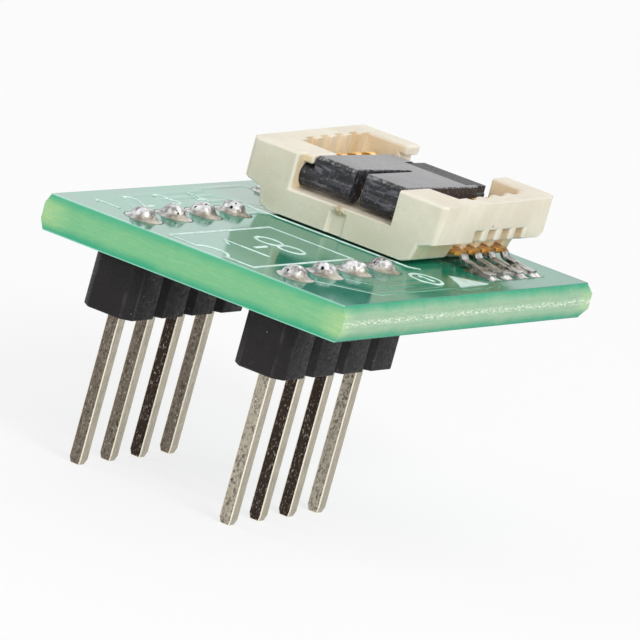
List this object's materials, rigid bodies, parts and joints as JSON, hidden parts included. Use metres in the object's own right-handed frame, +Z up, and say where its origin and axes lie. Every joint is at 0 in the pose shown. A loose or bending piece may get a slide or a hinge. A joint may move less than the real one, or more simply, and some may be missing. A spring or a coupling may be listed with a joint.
{
  "type": "ic socket adapter",
  "caption": "Small adapter board with a hinged-lid spring-contact chip socket on top and two rows of square header pins below.",
  "frame": {"origin": "under the middle of the board, level with the ends of the header pins", "axes": "+X across the two pin rows, +Y along the board from the headers to the socket, +Z up from the pins to the socket"},
  "size_m": [0.015, 0.0226, 0.0141],
  "materials": {
    "board_core": "glass fibre laminate, sawn and snapped edges",
    "solder_mask": "satin green solder mask",
    "plating": "tinned copper",
    "header_plastic": "moulded black plastic",
    "pin_metal": "dull tin plate over brass",
    "solder": "bright solder with a dull skin",
    "housing_plastic": "moulded cream plastic",
    "contact_metal": "gold plate over spring copper alloy",
    "lid_plastic": "moulded dark grey plastic, finely textured"
  },
  "bodies": {
    "adapter": {"board_core": "board_core", "solder_mask_top": "solder_mask", "solder_mask_bottom": "solder_mask", "plated_holes": "plating", "contact_pads_left": "plating", "contact_pads_right": "plating", "header_insulator_left": "header_plastic", "header_insulator_right": "header_plastic", "header_pin_1": "pin_metal", "header_pin_2": "pin_metal", "header_pin_3": "pin_metal", "header_pin_4": "pin_metal", "header_pin_5": "pin_metal", "header_pin_6": "pin_metal", "header_pin_7": "pin_metal", "header_pin_8": "pin_metal", "pin_solder_1": "solder", "pin_solder_2": "solder", "pin_solder_3": "solder", "pin_solder_4": "solder", "pin_solder_5": "solder", "pin_solder_6": "solder", "pin_solder_7": "solder", "pin_solder_8": "solder", "contact_solder_left": "solder", "contact_solder_right": "solder", "socket_housing": "housing_plastic", "socket_contact_1": "contact_metal", "socket_contact_2": "contact_metal", "socket_contact_3": "contact_metal", "socket_contact_4": "contact_metal", "socket_contact_5": "contact_metal", "socket_contact_6": "contact_metal", "socket_contact_7": "contact_metal", "socket_contact_8": "contact_metal"},
    "lid": {"socket_lid": "lid_plastic"}
  },
  "joints": [
    {"name": "lid_hinge", "type": "hinge", "parent": "adapter", "child": "lid", "pos_m": [-0.0001, 0.00165, 0.01294], "axis": [1, 0, 0], "range_deg": [0, 95]}
  ]
}
